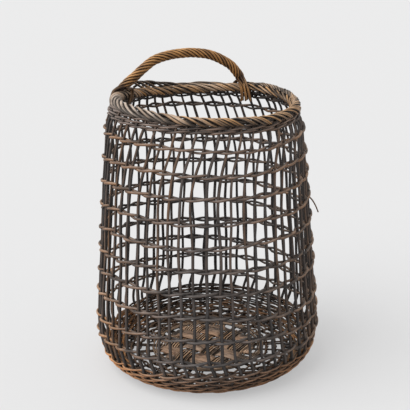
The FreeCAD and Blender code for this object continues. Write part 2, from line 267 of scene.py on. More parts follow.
mat_rods = rod_finish("fine_bottom_rods", (0.005, 0.0035, 0.003), (0.4, 0.255, 0.162), (0.47, 0.23, 0.095),
                      (0.82, 0.6, 0.43), (0.88, 0.57, 0.34), 0.7, 0.5)
split_wood = rod_finish("split_wood", (0.008, 0.005, 0.004), (0.44, 0.285, 0.192), (0.31, 0.145, 0.066),
                        (0.78, 0.57, 0.42), (0.79, 0.53, 0.35), 0.6, 0.6)
chance = np.random.default_rng(11)
for way, turn in (("long", MAT_TURN), ("cross", MAT_TURN + math.pi / 2)):
    for number in range(BAND_COUNT):
        offset = (number - (BAND_COUNT - 1) / 2) * BAND_PITCH
        lean = turn + math.radians(chance.uniform(-BAND_LEAN, BAND_LEAN))
        lengthwise = np.array([math.cos(lean), math.sin(lean), 0.0])
        sideways = np.array([-math.sin(lean), math.cos(lean), 0.0])
        if way == "cross":
            sideways = -sideways
        over = (-1) ** number * (1 if way == "long" else -1)
        count, spacing = (FINE_RODS, FINE_SPACING) if way == "long" else (SPLINTS, SPLINT_SPACING)
        at_edge = number in (0, BAND_COUNT - 1)
        skins = []
        for rod in range(count + at_edge * (EDGE_RODS if way == "long" else EDGE_SPLINTS)):
            shift = offset + math.copysign(spacing, offset) * (rod - (count - 1) / 2) + chance.normal(0, 0.3)
            reach = math.sqrt(MAT_RADIUS ** 2 - shift ** 2) - chance.uniform(0, RAGGED_EDGE, 2)
            run = np.linspace(-reach[0], reach[1], BAND_POINTS)
            phase = math.pi * (run / BAND_PITCH + (BAND_COUNT - 1) / 2)
            wave = over * np.tanh(BAND_SQUARENESS * np.cos(phase))
            shift = shift + chance.normal(0, 0.9) * (run / MAT_RADIUS) ** 2
            points = lengthwise * run[:, None] + sideways * shift[:, None]
            points[:, 2] = MAT_LEVEL + BAND_WAVE * wave + chance.normal(0, 0.2)
            if way == "long":
                thick = FINE_ROD * chance.uniform(0.9, 1.08)
                # Painted shade: darker where the rod dips under a crossing splint.
                shade = chance.uniform(0.15, 1.15) + 0.5 * np.minimum(wave, 0)
                upward = np.tile((0.0, 0.0, 1.0), (BAND_POINTS, 1))
                skins.append(round_rod(points, thick, shade, chance.uniform(0.1, 0.9), 8, upward))
            else:
                width = SPLINT_WIDTH * chance.uniform(0.9, 1.02)
                # Painted shade: darker where the splint dips under a crossing bundle.
                shade = chance.uniform(0.2, 1.0) + 0.9 * np.minimum(wave, 0)
                skins.append(flat_splint(points, -sideways, width, shade, chance.uniform(0, 1)))
        node = "base_band_%s_%d" % (way, number + 1)
        piece = skin_piece(node + ("_bundle" if way == "long" else "_splint"), skins)
        piece.data.materials.append(mat_rods if way == "long" else split_wood)
        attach(piece, "root")
        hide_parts(node)

# Binding round the mat: a flat bundle of fine rods bent into a ring, which holds the ends of the
# plait and the inner ends of the spokes together.
BINDING_RADII = (69.5, 71.9, 74.3, 76.7)
BINDING_LEVEL = 9.3
BINDING_CROWN = 0.4
BINDING_START = 150
BINDING_STAGGER = 9
BINDING_SWEEP = 2 * math.pi * 0.985
BINDING_POINTS = 90
chance = np.random.default_rng(12)
skins = []
for number, radius in enumerate(BINDING_RADII):
    sweep = np.linspace(0, BINDING_SWEEP, BINDING_POINTS)
    sweep = sweep + math.radians(BINDING_START + BINDING_STAGGER * number)
    from_middle = number - (len(BINDING_RADII) - 1) / 2
    crown = BINDING_CROWN * math.cos(math.pi * from_middle / len(BINDING_RADII))
    waver = 0.6 * np.sin(5 * sweep + chance.uniform(0, 6))
    points = polar(radius + waver, sweep, BINDING_LEVEL + crown + 0.3 * np.sin(7 * sweep + number))
    skins.append(round_rod(points, FINE_ROD * chance.uniform(0.9, 1.05), chance.uniform(0.3, 0.6),
                           chance.uniform(0.2, 0.8), 6, np.tile((0.0, 0.0, 1.0), (BINDING_POINTS, 1))))
binding = skin_piece("base_binding", skins)
binding.data.materials.append(mat_rods)
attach(binding, "root")
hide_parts("base_hoop")

# Spokes of the bottom: pairs of straight rods from under the mat out to the foot, laid between
# the stakes. They carry the mat and the woven rows of the bottom.
STAKES = 56
PITCH = 2 * math.pi / STAKES
SPOKES = 28
SPOKE_LEVEL = 5.7
SPOKE_ROD = 1.3
SPOKE_APART = 1.05
SPOKE_ENDS = (36.0, 114.0)
SPOKE_DIP = 0.9
DIP_RADIUS = 80
DIP_LENGTH = 40
SPOKE_POINTS = 8
FOOT_SWING = math.radians(3.0)
bottom_rods = rod_finish("bottom_rods", (0.014, 0.01, 0.008), (0.1, 0.07, 0.052), (0.15, 0.072, 0.032),
                         (0.24, 0.16, 0.1), (0.24, 0.16, 0.1), 0.5, 0.4)
chance = np.random.default_rng(13)
spoke_angles = FOOT_SWING + (2 * np.arange(SPOKES) + 0.5) * PITCH
skins = []
for angle in spoke_angles:
    for side in (-1, 1):
        run = np.linspace(*SPOKE_ENDS, SPOKE_POINTS) + chance.uniform(-1.5, 0.5)
        around = angle + side * SPOKE_ROD * SPOKE_APART / run + math.radians(chance.normal(0, 0.4))
        dip = SPOKE_DIP * np.clip((DIP_RADIUS - run) / DIP_LENGTH, 0, 1)
        points = polar(run, around, SPOKE_LEVEL - dip + chance.normal(0, 0.12))
        skins.append(round_rod(points, SPOKE_ROD * np.linspace(1.0, 0.9, SPOKE_POINTS),
                               chance.uniform(0.2, 0.6), chance.uniform(0.2, 0.8), 6))
spokes = skin_piece("base_spoke_pairs", skins)
spokes.data.materials.append(bottom_rods)
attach(spokes, "root")
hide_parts("base_spokes")

# Woven rows of the bottom: two thin rods twisted about each other, one passing over and one under
# each spoke in turn. They leave small gaps, so light comes through the bottom.
BOTTOM_ROW_RADII = {"base_row_1": (83.5,), "base_row_2": (95.0, 106.0)}
BOTTOM_WEAVER = 1.35
BOTTOM_CLIMB = 2.75
BOTTOM_TWIST = 1.3
BOTTOM_SEAM = 0.25
BOTTOM_STAGGER = 5
chance = np.random.default_rng(14)
two_rounds = np.concatenate([spoke_angles, spoke_angles + 2 * math.pi])
for node, radii in BOTTOM_ROW_RADII.items():
    skins = []
    for row, radius in enumerate(radii):
        for way in (1, -1):
            steps = np.linspace(0, SPOKES - BOTTOM_SEAM, 6 * SPOKES) + BOTTOM_STAGGER * row
            phase = math.pi * (steps + row)
            angle = np.interp(steps, np.arange(2 * SPOKES), two_rounds)
            waver = 0.8 * np.sin(3 * angle + chance.uniform(0, 6)) + 0.4 * np.sin(8 * angle)
            points = polar(radius + waver + way * BOTTOM_TWIST * np.sin(phase), angle,
                           SPOKE_LEVEL + way * BOTTOM_CLIMB * np.cos(phase))
            skins.append(round_rod(points, BOTTOM_WEAVER * chance.uniform(0.9, 1.1),
                                   chance.uniform(0.25, 0.6), chance.uniform(0.4, 1.0), 6))
    piece = skin_piece(node + "_twined", skins)
    piece.data.materials.append(bottom_rods)
    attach(piece, "root")
    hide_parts(node)

# Foot: the lowest ring of the corner, two rods twisted into a cord, on which the basket stands.
# The spokes and the turned-up stakes lie on it.
FOOT_RADIUS = 113.0
FOOT_ROD = 1.1
FOOT_LAY = 0.95
FOOT_TURNS = 46
FOOT_SWEEP = 2 * math.pi * 0.998
foot_bark = rod_finish("foot_bark", (0.025, 0.014, 0.009), (0.15, 0.09, 0.055), (0.27, 0.125, 0.05),
                       (0.36, 0.22, 0.12), (0.36, 0.22, 0.12), 0.5, 0.4)
sweep = np.linspace(0, FOOT_SWEEP, 6 * FOOT_TURNS)
skins = []
for half in (0, math.pi):
    twist = FOOT_TURNS * sweep + half
    skins.append(round_rod(polar(FOOT_RADIUS + FOOT_LAY * np.cos(twist), sweep,
                                 FOOT_ROD + FOOT_LAY + FOOT_LAY * np.sin(twist)), FOOT_ROD, 0.5, 0.9))
foot = skin_piece("foot_cord", skins)
foot.data.materials.append(foot_bark)
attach(foot, "root")
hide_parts("foot_hoop")

# Stakes: upright unpeeled rods, turned up from the foot at the bottom corner. They bulge low down,
# draw in towards the rim and lean over together at the top, where they run into the border.
SIDES = ("right", "back", "left", "front")
STAKE_FOOT = 2.15
STAKE_TOP = 1.7
STAKE_POINTS = 64
# Lighter painted shade on the sides of stakes and open-row weavers.
STAKE_GAP_SHADE = 0.7
WARM_HEIGHTS = (100, 260)
DARK_HEIGHTS = (60, 160)
WALL_OUTLINE = ((106.0, 5.5), (112.0, 5.8), (120.5, 7.2), (129.0, 10.6), (137.0, 18.0), (143.3, 29.5),
                (146.8, 43.0), (147.8, 57.0), (147.0, 72.0), (145.8, 87.0), (141.2, 146.7), (136.4, 206.6),
                (131.4, 266.4), (125.6, 326.3), (121.6, 338.5), (117.0, 348.5))
WALL_POINTS = 600
SWING_HEIGHTS = (0.0, 13.0, 38.0, 58.0, 130.0, 258.0, 292.0, 333.0, 350.0)
SWING_DEGREES = (4.0, 3.8, 3.5, 0.9, 0.4, 0.0, 1.6, 7.5, 9.5)
SWING_SOFTENING = 19
RIM_RADIUS = 116.0
RIM_BULGE_RIGHT = 1.0
RIM_DENT_LEFT = 2.4
RIM_LEVEL = 352.0
RIM_DEGREES = (0, 20, 45, 65, 90, 115, 140, 165, 185, 210, 230, 250, 270, 290, 310, 330, 345, 360)
RIM_HEIGHTS = (349.5, 351.5, 353, 350.5, 347.5, 347.5, 352, 358.5, 362.5, 363.5, 362, 359.5, 356.8, 355,
               351.8, 351, 349.8, 349.5)
RIM_SWING = math.radians(9.5)
STRETCH_FROM = 322.0
STRETCH_LENGTH = WALL_OUTLINE[-1][1] - STRETCH_FROM
stake_bark = rod_finish("stake_bark", (0.037, 0.032, 0.03), (0.1, 0.092, 0.092), (0.24, 0.12, 0.052),
                        (0.24, 0.225, 0.225), (0.36, 0.26, 0.19), 0.6, 0.4)
wall_line = smooth_line(WALL_OUTLINE, WALL_POINTS)
wall_run = length_along(wall_line)
wall_course = unit(np.gradient(wall_line, axis=0))
swing_line = np.interp(wall_line[:, 1], SWING_HEIGHTS, np.radians(SWING_DEGREES))
swing_line = np.convolve(np.pad(swing_line, SWING_SOFTENING // 2, mode="edge"),
                         np.full(SWING_SOFTENING, 1 / SWING_SOFTENING), mode="valid")
chance = np.random.default_rng(15)
stake_shift = chance.normal(0, 0.085, STAKES)


def quarter(index):
    """The numbers of the stakes on one of the four sides."""
    return range(index * STAKES // 4 - STAKES // 8, (index + 1) * STAKES // 4 - STAKES // 8)


def rim_height(angle):
    """The rim isn't level: it stands highest at the front left and sinks between the handle's feet."""
    return np.interp(np.degrees(angle) % 360, RIM_DEGREES, RIM_HEIGHTS)


def rim_radius(angle):
    """The rim isn't quite round: it is pressed in at the left and stands out a little at the right."""
    bulge = RIM_BULGE_RIGHT * np.clip(np.cos(angle), 0, 1) ** 8
    dent = RIM_DENT_LEFT * np.clip(-np.cos(angle), 0, 1) ** 8
    return RIM_RADIUS + bulge - dent


def wall_place(run, stake, out, lift):
    """Points beside the wall line: out from it and up along it, at a place counted in stakes."""
    run, stake, out, lift = np.broadcast_arrays(run, stake, out, lift)
    radius = np.interp(run, wall_run, wall_line[:, 0])
    height = np.interp(run, wall_run, wall_line[:, 1])
    inward = np.interp(run, wall_run, wall_course[:, 0])
    upward = np.interp(run, wall_run, wall_course[:, 1])
    shift = np.interp(stake % STAKES, np.arange(STAKES + 1), np.append(stake_shift, stake_shift[0]))
    angle = (stake + shift) * PITCH + np.interp(run, wall_run, swing_line)
    stretch = np.clip((height - STRETCH_FROM) / STRETCH_LENGTH, 0, 1)
    height = height + stretch * (rim_height(angle) - RIM_LEVEL)
    return polar(radius + out * upward + lift * inward, angle, height - out * inward + lift * upward)


for index, side in enumerate(SIDES):
    skins = []
    for number in quarter(index):
        run = np.linspace(chance.uniform(0, 3), wall_run[-1] - 0.5, STAKE_POINTS)
        sway = 0.07 * np.sin(run / 38 + chance.uniform(0, 6)) + 0.05 * np.sin(run / 17 + chance.uniform(0, 6))
        points = wall_place(run, number + sway, 0.25 * np.sin(run / 23 + chance.uniform(0, 6)), 0)
        thick = np.linspace(STAKE_FOOT, STAKE_TOP, STAKE_POINTS) * chance.uniform(0.88, 1.1)
        thick = thick * (1 + 0.04 * np.sin(run / 9 + chance.uniform(0, 6)))
        outward = unit(points * (1, 1, 0))
        at_side = abs(math.cos(number * PITCH)) ** 1.5
        warm = chance.normal(0, 0.15) + 0.2 * np.sin(run / 31 + chance.uniform(0, 6))
        warm = warm * np.interp(points[:, 2], WARM_HEIGHTS, (0.3 + 0.7 * at_side, 1.0))
        warm = warm + np.interp(points[:, 2], WARM_HEIGHTS, (0.03 + 0.65 * at_side, 0.5))
        dark = np.interp(points[:, 2], DARK_HEIGHTS, (0.3, 0.0)) * (1 - at_side)
        skins.append(round_rod(points, thick, chance.uniform(0.35, 0.8) - dark, np.clip(warm, 0, 1), 8,
                               outward, STAKE_GAP_SHADE))
    piece = skin_piece("stakes_%s_rods" % side, skins)
    piece.data.materials.append(stake_bark)
    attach(piece, "root")
    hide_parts("stakes_" + side)

# Close rows round the bottom corner: pairs of orange-brown rods twined tightly round the stakes
# one row on the next, which make the corner firm where it is turned up.
CORNER_NODES = ((0, 1), (2, 3, 4), (5, 6), (7, 8))
CORNER_ROWS = 9
CORNER_FIRST = 12.0
CORNER_SPACING = 5.6
CORNER_ROD = 1.4
CORNER_OUT = 3.3
CORNER_LIFT = 1.3
CORNER_WAVER = 0.35
CORNER_STAGGER = 14
SAG_LEFT = 14.0
SAG_RIGHT = 6.0
TWINE_OVERLAP = 0.4
TWINE_START = 1.3
TWINE_SQUARENESS = 1.6
corner_bark = rod_finish("corner_bark", (0.014, 0.008, 0.006), (0.16, 0.12, 0.098), (0.69, 0.273, 0.0723),
                         (0.4, 0.34, 0.3), (0.78, 0.5, 0.27), 0.8, 0.4)
chance = np.random.default_rng(16)


def left_side(around):
    """How far a place round the basket is on the left, from 0 to 1."""
    return np.clip(-np.cos(around), 0, 1) ** 1.5


def right_side(around):
    """How far a place round the basket is on the right, from 0 to 1."""
    return np.clip(np.cos(around), 0, 1) ** 1.5


def twined_weaver(course, first, out, lift, radius, tone, warmth, waver, gap_shade):
    """A weaver in front of two stakes and behind two, going in on top of its partner."""
    steps = np.linspace(0, STAKES - TWINE_OVERLAP, 5 * STAKES) + first - TWINE_START
    phase = math.pi / 2 * (steps - first - 0.5)
    bar = np.tanh(TWINE_SQUARENESS * np.cos(phase)) / math.tanh(TWINE_SQUARENESS)
    around = 2 * math.pi * steps / STAKES
    ripple = np.sin(2 * around + chance.uniform(0, 6)) + 0.5 * np.sin(5 * around + chance.uniform(0, 6))
    points = wall_place(course(around) + waver * ripple, steps, out * bar, lift * np.sin(phase))
    thick = radius * (1 + 0.07 * np.sin(3 * around + chance.uniform(0, 6)) + 0.05 * np.sin(11 * around))
    swell = 0.1 * np.sin(4 * around + chance.uniform(0, 6)) + 0.08 * np.sin(9 * around + chance.uniform(0, 6))
    return round_rod(points, thick, tone(around) + swell, np.clip(warmth(around), 0, 1), 8,
                     unit(points * (1, 1, 0)), gap_shade)


for number, rows in enumerate(CORNER_NODES):
    skins = []
    for row in rows:
        def course(around):
            sag = SAG_LEFT * left_side(around) + SAG_RIGHT * right_side(around)
            return CORNER_FIRST + row * (CORNER_SPACING - sag / (CORNER_ROWS - 1))

        def warmth(around):
            return 0.8 + 0.2 * np.cos(2 * around) - 0.06 * row * np.sin(around) ** 2

        for partner in (0, 2):
            shade = chance.uniform(0.4, 0.8)
            # Painted light: the rods are lighter on the left, the side that faces the lamp.
            skins.append(twined_weaver(course, CORNER_STAGGER * row + row % 2 + partner, CORNER_OUT,
                                       CORNER_LIFT, CORNER_ROD * chance.uniform(0.92, 1.08),
                                       lambda around: shade + 0.4 * left_side(around), warmth,
                                       CORNER_WAVER, GAP_SHADE))
    piece = skin_piece("corner_row_%d_twined" % (number + 1), skins)
    piece.data.materials.append(corner_bark)
    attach(piece, "root")
    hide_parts("corner_row_%d" % (number + 1))

# Open rows of the wall: in each, two rods turn about each other and hold the stakes in pairs, the
# next row taking the pairs one stake along. Each row climbs to the start of the next on the left.
OPEN_ROWS = 10
ROW_FIRST = 56.9
ROW_SPACING = 29.93
ROW_TURNS = (190, 210, 240, 270, 300, 330, 360, 390, 420, 450, 480, 510, 550)
ROW_BENDS = ((-9.5, -3.5, -0.5, -1.5, -1.5, -5.5, -3, 0, -0.5, 1.5, 6, 11, 11),
             (-14, -9, -0.5, -1, -5.5, -11.5, -9, -3, -0.5, 0, 3, 11.5, 12),
             (-13, -3.5, -1, 0.5, -9, -14.5, -13, -10, -6, 0, 4.5, 14.5, 14.5),
             (-10.5, -1.5, -1, 0.5, -3, -3.5, -2, 1.5, 1, -1.5, 2.5, 14, 14.5),
             (-10.5, -5, 0.5, 0, -3, -4.5, -6, -1.5, -0.5, 0, 3, 13, 13),
             (-12, -1.5, -2, -2, 0.5, -2.5, -1.5, -0.5, 2.5, 0, 4.5, 9.5, 12.5),
             (-12.5, -1, -0.5, -1.5, -1, -4, 1.5, 5, 5.5, 2.5, 8.5, 17, 17),
             (-8, -1, 0.5, 0, -1.5, -2.5, 1.5, 7, 6.5, 4, 9, 16.5, 17),
             (-8, -1.5, 1, -2, -3.5, -2.5, -3.5, -2.5, -1, 1.5, 5, 11.5, 18),
             (-4.5, -1, 0, -2, -5.5, -3, -3, -4, -3.5, -2, 2, 3.5, -2))
ROW_POINTS = 361
ROW_SEAM = 28
WEAVER_ROD = 1.7
WEAVER_OUT = 3.4
WEAVER_LIFT = 1.55
WEAVER_WAVER = 0.4
FRONT_DARKENING = 0.4
weaver_bark = rod_finish("weaver_bark", (0.037, 0.032, 0.03), (0.14, 0.128, 0.126), (0.36, 0.17, 0.066),
                         (0.46, 0.42, 0.41), (0.6, 0.42, 0.29), 0.8, 0.4)
chance = np.random.default_rng(17)
for row in range(OPEN_ROWS):
    level = ROW_FIRST + row * ROW_SPACING
    row_swing = np.interp(level, SWING_HEIGHTS, SWING_DEGREES)
    climb = smooth_line(list(zip(ROW_TURNS, ROW_BENDS[row])), ROW_POINTS)

    def course(around):
        bend = np.interp(np.degrees(around) + row_swing, climb[:, 0], climb[:, 1])
        return np.interp(level + bend, wall_line[:, 1], wall_run)

    def tone(around):
        dark_front = FRONT_DARKENING * (1 - row / OPEN_ROWS) * np.clip(-np.sin(around), 0, 1) ** 2
        # Painted light: the lowest rows are lighter on the left, the side that faces the lamp.
        return shade - dark_front + 0.3 * (row < 3) * left_side(around)

    def warmth(around):
        at_side = np.abs(np.cos(around)) ** 1.5
        return 0.05 * row + (0.9 - 0.05 * row) * at_side + 0.35 * (row < 2) * left_side(around)

    seam = ROW_SEAM + row % 2
    for partner, name in ((0, "leading"), (2, "following")):
        node = "wall_row_%02d_%s_weaver" % (row + 1, name)
        shade = chance.uniform(0.5, 0.75)
        skin = twined_weaver(course, seam + partner, WEAVER_OUT, WEAVER_LIFT,
                             WEAVER_ROD * chance.uniform(0.93, 1.07), tone, warmth, WEAVER_WAVER, STAKE_GAP_SHADE)
        piece = skin_piece(node + "_rod", [skin])
        piece.data.materials.append(weaver_bark)
        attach(piece, "root")
        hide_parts(node)

# Loose end of a weaver: the thin last stretch of an open row's rod, left untrimmed. It pokes out
# between two stakes on the right and curls down.
TAIL_ANGLE = math.radians(-10.8)
TAIL_KNOTS = ((127.5, 235.0), (133.5, 235.2), (140.0, 231.0), (145.5, 222.5), (149.5, 213.0))
TAIL_ROD = (1.15, 0.85)
TAIL_POINTS = 24
points = smooth_line([polar(radius, TAIL_ANGLE, height) for radius, height in TAIL_KNOTS], TAIL_POINTS)
tail = skin_piece("weaver_tail_rod", [round_rod(points, np.linspace(*TAIL_ROD, TAIL_POINTS), 0.4, 0.6)])
tail.data.materials.append(weaver_bark)
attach(tail, "root")
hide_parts("weaver_tail")

# Neck: close twined rows under the border, which lock the leaning stakes before their tops are
# turned down into it. They part on the left, where the rim stands high.
NECK_DEGREES = (0, 60, 90, 140, 195, 230, 270, 310, 345, 360)
NECK_HEIGHTS = ((340, 340, 338.5, 343, 347.5, 347, 346, 341.5, 340, 340),
                (343.5, 343.5, 342, 347, 352, 351.2, 349.6, 345, 343.5, 343.5),
                (347, 347, 345.5, 351.5, 356.6, 356, 353.2, 348.5, 347, 347))
NECK_ROD = 1.45
NECK_OUT = 2.6
NECK_LIFT = 1.2
NECK_WAVER = 0.2
chance = np.random.default_rng(18)
skins = []
for row, heights in enumerate(NECK_HEIGHTS):
    def course(around):
        angle = around + RIM_SWING
        gain = (rim_height(angle) - RIM_LEVEL) / STRETCH_LENGTH
        height = np.interp(np.degrees(angle) % 360, NECK_DEGREES, heights)
        return np.interp((height + STRETCH_FROM * gain) / (1 + gain), wall_line[:, 1], wall_run)

    for partner in (0, 2):
        shade = chance.uniform(0.35, 0.65)
        # Painted light: the neck rods are lighter on the left, the side that faces the lamp.
        skins.append(twined_weaver(course, row + partner, NECK_OUT, NECK_LIFT, NECK_ROD,
                                   lambda around: shade + 0.35 * left_side(around),
                                   lambda around: 0.45 + 0.2 * np.cos(around), NECK_WAVER, GAP_SHADE))
neck = skin_piece("neck_rows_twined", skins)
neck.data.materials.append(weaver_bark)
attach(neck, "root")
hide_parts("neck_row")

# Core of the border: one thicker rod bent into a hoop on top of the neck. The turned-down stake
# tops are laid over it and hide it.
CORE_ROD = 2.2
CORE_SWEEP = 2 * math.pi * 0.995
CORE_POINTS = 140
border_bark = rod_finish("border_bark", (0.03, 0.023, 0.019), (0.47, 0.375, 0.3), (0.5, 0.255, 0.09),
                         (0.7, 0.575, 0.465), (0.8, 0.52, 0.29), 0.7, 0.45)
sweep = np.linspace(0, CORE_SWEEP, CORE_POINTS)
core = skin_piece("border_core_hoop", [
    round_rod(polar(rim_radius(sweep), sweep, rim_height(sweep)), CORE_ROD, 0.0, 0.3)])
core.data.materials.append(border_bark)
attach(core, "root")
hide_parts("border_core")

# Rolled border: the stake tops in twos, laid over the core one after the other from the inside out.
# Their cut ends are tucked in below or, on the right, stand out. Between the handle's feet they run
# on as a looser upper row, and from the right to the back right a second layer lies on the outside.
BORDER_ROD = 1.45
BORDER_TWINS = (0.0, 0.42)
BORDER_POINTS = 34
ROLL_WIDTH = 5.4
ROLL_HEIGHT = 5.0
ROLL_START = math.radians(222.0)
ROLL_END = math.radians(-48.0)
ROLL_ADVANCE = 3.3
FLARE_TURN = math.radians(30)
FLARE_LIFT = math.radians(24)
LEFT_MASK_TURN = math.radians(20)
LONG_LAY_TURN = math.radians(32)
BACK_DEGREES = (64, 146)
BACK_BLEND = 8
BACK_INSET = 1.5
HUMP_DEGREES = (96, 116, 136, 148)
HUMP_HEIGHTS = (-1.6, 5.6, 6.8, -0.5)
HUMP_SHARES = np.array([0.4, 1.0, 1.0, 0.6])
SHADE_DEGREES = 160
SHADE_WIDTH = 11
LOOSE_ROW = ((0.0, -3.2, -3.2), (0.7, -4.4, 0.2), (1.4, -3.2, 3.4), (2.1, 0.6, 5.2), (3.0, 5.0, 7.6),
             (4.2, 7.0, 8.2), (5.6, 6.0, 5.0))
TUCKED_ROW = ((0.0, -3.2, -3.2), (0.6, -4.4, 0.2), (1.2, -3.2, 3.4), (1.8, 0.2, 4.4), (2.4, 3.0, 3.4),
              (2.9, 4.0, 0.8), (3.4, 3.4, -2.2))
LAYER_TWINS = (0.1, 0.6)
LAYER_FROM = -20.0
LAYER_TO = 54.0
LAYER_START = math.radians(122.0)
LAYER_END = ROLL_END + math.radians(20)
LAYER_ADVANCE = 3.6
LAYER_OUT = 1.6
LAYER_LIFT = 2.8
LAYER_KNOTS = 6
LAYER_POINTS = 26
LAYER_BRIGHT = 10
chance = np.random.default_rng(19)
layer_chance = np.random.default_rng(21)


def beyond(share, start):
    """How far a share is past its start, from 0 at the start to 1 at the end."""
    return np.clip((share - start) / (1 - start), 0, 1)


def laid_on_rim(line, angle, inset):
    """Points of a rod laid round the core, and the way that each faces."""
    points = polar(rim_radius(angle) - inset + line[:, 1], angle, rim_height(angle) + line[:, 2])
    return points, unit(polar(line[:, 1], angle, line[:, 2]))


def rolled_rods(number):
    """The one or two rods of a stake's top that make the roll."""
    skins = []
    for twin in BORDER_TWINS:
        begin = number + twin + chance.normal(0, 0.05)
        middle = RIM_SWING + (begin + ROLL_ADVANCE / 2) * PITCH
        degrees = math.degrees(middle) % 360
        flare = np.clip(math.cos(middle + FLARE_TURN), 0, 1) ** 6
        left = np.clip(-math.cos(middle - LEFT_MASK_TURN), 0, 1) ** 2
        long_lay = np.clip(math.cos(middle - LONG_LAY_TURN), 0, 1) ** 4
        back = np.clip((degrees - BACK_DEGREES[0]) / BACK_BLEND, 0, 1)
        back = back * np.clip((BACK_DEGREES[1] - degrees) / BACK_BLEND, 0, 1)
        if twin and chance.uniform() < 1.1 * left + 0.6 * flare + 0.9 * long_lay:
            continue
        share = np.linspace(0, 1, len(LOOSE_ROW))
        wrap = ROLL_START + share * (ROLL_END + flare * FLARE_LIFT - ROLL_START)
        roll = 1 + 0.12 * flare * beyond(share, 0.6)
        roll = roll * (1 + chance.normal(0, 0.035)) - 0.12 * (1 - flare) * beyond(share, 0.85)
        stretch = 1 + 0.45 * left + 0.8 * long_lay + chance.normal(0, 0.04)
        knots = np.column_stack([share ** (1 + 0.35 * left) * ROLL_ADVANCE * stretch,
                                 (ROLL_WIDTH + 0.6 * flare + 0.3 * left) * roll * np.cos(wrap),
                                 (ROLL_HEIGHT + 0.4 * left) * roll * np.sin(wrap)])
        loose = np.array(TUCKED_ROW if twin else LOOSE_ROW) + (0, 0, chance.normal(0, 0.4))
        hump = np.interp(degrees, HUMP_DEGREES, HUMP_HEIGHTS) * (twin == 0)
        loose[3:, 2] += hump * HUMP_SHARES + chance.normal(0, 0.5)
        line = smooth_line(knots * (1 - back) + loose * back, BORDER_POINTS)
        angle = RIM_SWING + (begin + line[:, 0]) * PITCH
        points, outward = laid_on_rim(line, angle, BACK_INSET * back)
        thick = BORDER_ROD * chance.uniform(0.92, 1.1) * (1 + 0.38 * left + 0.12 * flare + 0.1 * back)
        thick = thick * np.linspace(1.05, 0.94, BORDER_POINTS)
        shaded = np.exp(-((degrees - SHADE_DEGREES) / SHADE_WIDTH) ** 2)
        # Painted light: rods on the left are a little lighter, on the side that faces the lamp.
        tone = chance.uniform(0.55, 1.1) + 0.15 * left - 0.25 * back - 0.3 * long_lay - 0.45 * shaded
        warmth = 0.95 - 0.85 * left - 0.25 * back + chance.normal(0, 0.2)
        # Painted shade: each rod darkens towards the lower outer end of the roll, except where the ends flare
        # out.
        tone = tone - 0.8 * (1 - flare) * beyond(np.linspace(0, 1, BORDER_POINTS), 0.5)
        skins.append(round_rod(points, thick, tone, np.clip(warmth, 0, 1), 8, outward,
                               GAP_SHADE * (1 - 0.35 * back)))
    return skins


def outer_rods(number):
    """The two rods of the second layer at a stake, where it lies."""
    skins = []
    for twin in LAYER_TWINS:
        begin = RIM_SWING + (number + twin + layer_chance.normal(0, 0.06)) * PITCH
        degrees = (math.degrees(begin) + 180) % 360 - 180
        if LAYER_FROM < degrees < LAYER_TO:
            share = np.linspace(0, 1, LAYER_KNOTS)
            wrap = LAYER_START + share * (LAYER_END - LAYER_START)
            rise = layer_chance.uniform(0.6, 1.1) * np.sin(math.pi * np.clip(share + 0.12, 0, 1))
            knots = np.column_stack([share * LAYER_ADVANCE * PITCH,
                                     (ROLL_WIDTH + LAYER_OUT * rise) * np.cos(wrap),
                                     (ROLL_HEIGHT + LAYER_LIFT * rise) * np.sin(wrap)])
            line = smooth_line(knots, LAYER_POINTS)
            points, outward = laid_on_rim(line, begin + line[:, 0], 0)
            thick = BORDER_ROD * layer_chance.uniform(0.9, 1.05) * np.linspace(1.0, 0.92, LAYER_POINTS)
            tone = layer_chance.uniform(0.0, 0.5) + 0.25 * (degrees < LAYER_BRIGHT)
            warmth = layer_chance.uniform(0.2, 0.7) + 0.3 * (degrees < LAYER_BRIGHT)
            skins.append(round_rod(points, thick, tone, warmth, 8, outward))
    return skins


for index, side in enumerate(SIDES):
    skins = []
    for number in quarter(index):
        skins += rolled_rods(number) + outer_rods(number)
    piece = skin_piece("border_%s_rods" % side, skins)
    piece.data.materials.append(border_bark)
    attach(piece, "root")
    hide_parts("border_rods_" + side)

# Bow of the handle: a stout rod sprung between two places on the rim, at the left and at the back
# right. Its ends stand on the border, and the strands laid round it hold it there.
HANDLE_LEFT = math.radians(165.0)
HANDLE_RIGHT = math.radians(62.0)
HANDLE_ARCH = ((-1.0, 362.0), (-0.85, 374.6), (-0.73, 382.2), (-0.6, 391.5), (-0.43, 401.0), (-0.2, 405.6),
               (0.0, 406.6), (0.17, 406.1), (0.4, 402.4), (0.58, 396.0), (0.78, 385.0), (0.9, 372.5),
               (1.0, 358.0))
BOW_ROD = 3.0
BOW_POINTS = 161
handle_bark = rod_finish("handle_bark", (0.04, 0.019, 0.01), (0.44, 0.225, 0.082), (0.52, 0.235, 0.066),
                         (0.68, 0.4, 0.16), (0.68, 0.4, 0.16), 0.7, 0.45)
foot_left = polar(RIM_RADIUS, HANDLE_LEFT, 0.0)
foot_right = polar(RIM_RADIUS, HANDLE_RIGHT, 0.0)
arch = smooth_line(HANDLE_ARCH, BOW_POINTS)
bow_line = (foot_left + foot_right) / 2 + (foot_right - foot_left) / 2 * arch[:, :1]
bow_line[:, 2] = arch[:, 1]
bow = skin_piece("handle_bow_rod", [round_rod(bow_line, BOW_ROD, 0.0, 0.5)])
bow.data.materials.append(handle_bark)
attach(bow, "root")
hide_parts("handle_bow")

# Strands of the handle: rods laid round the bow like a rope. At the left foot most go down over
# the outside of the rim, at the right foot most go down inside it, where their ends are cut off.
STRANDS = 8
STRAND_ROD = 1.62
STRAND_LAY = 4.9
LAY_ANGLE = math.radians(28.0)
LAID_FROM = 8
LAID_TO = 153
LAID_STEP = 4
LEG_STAGGER = 0.7
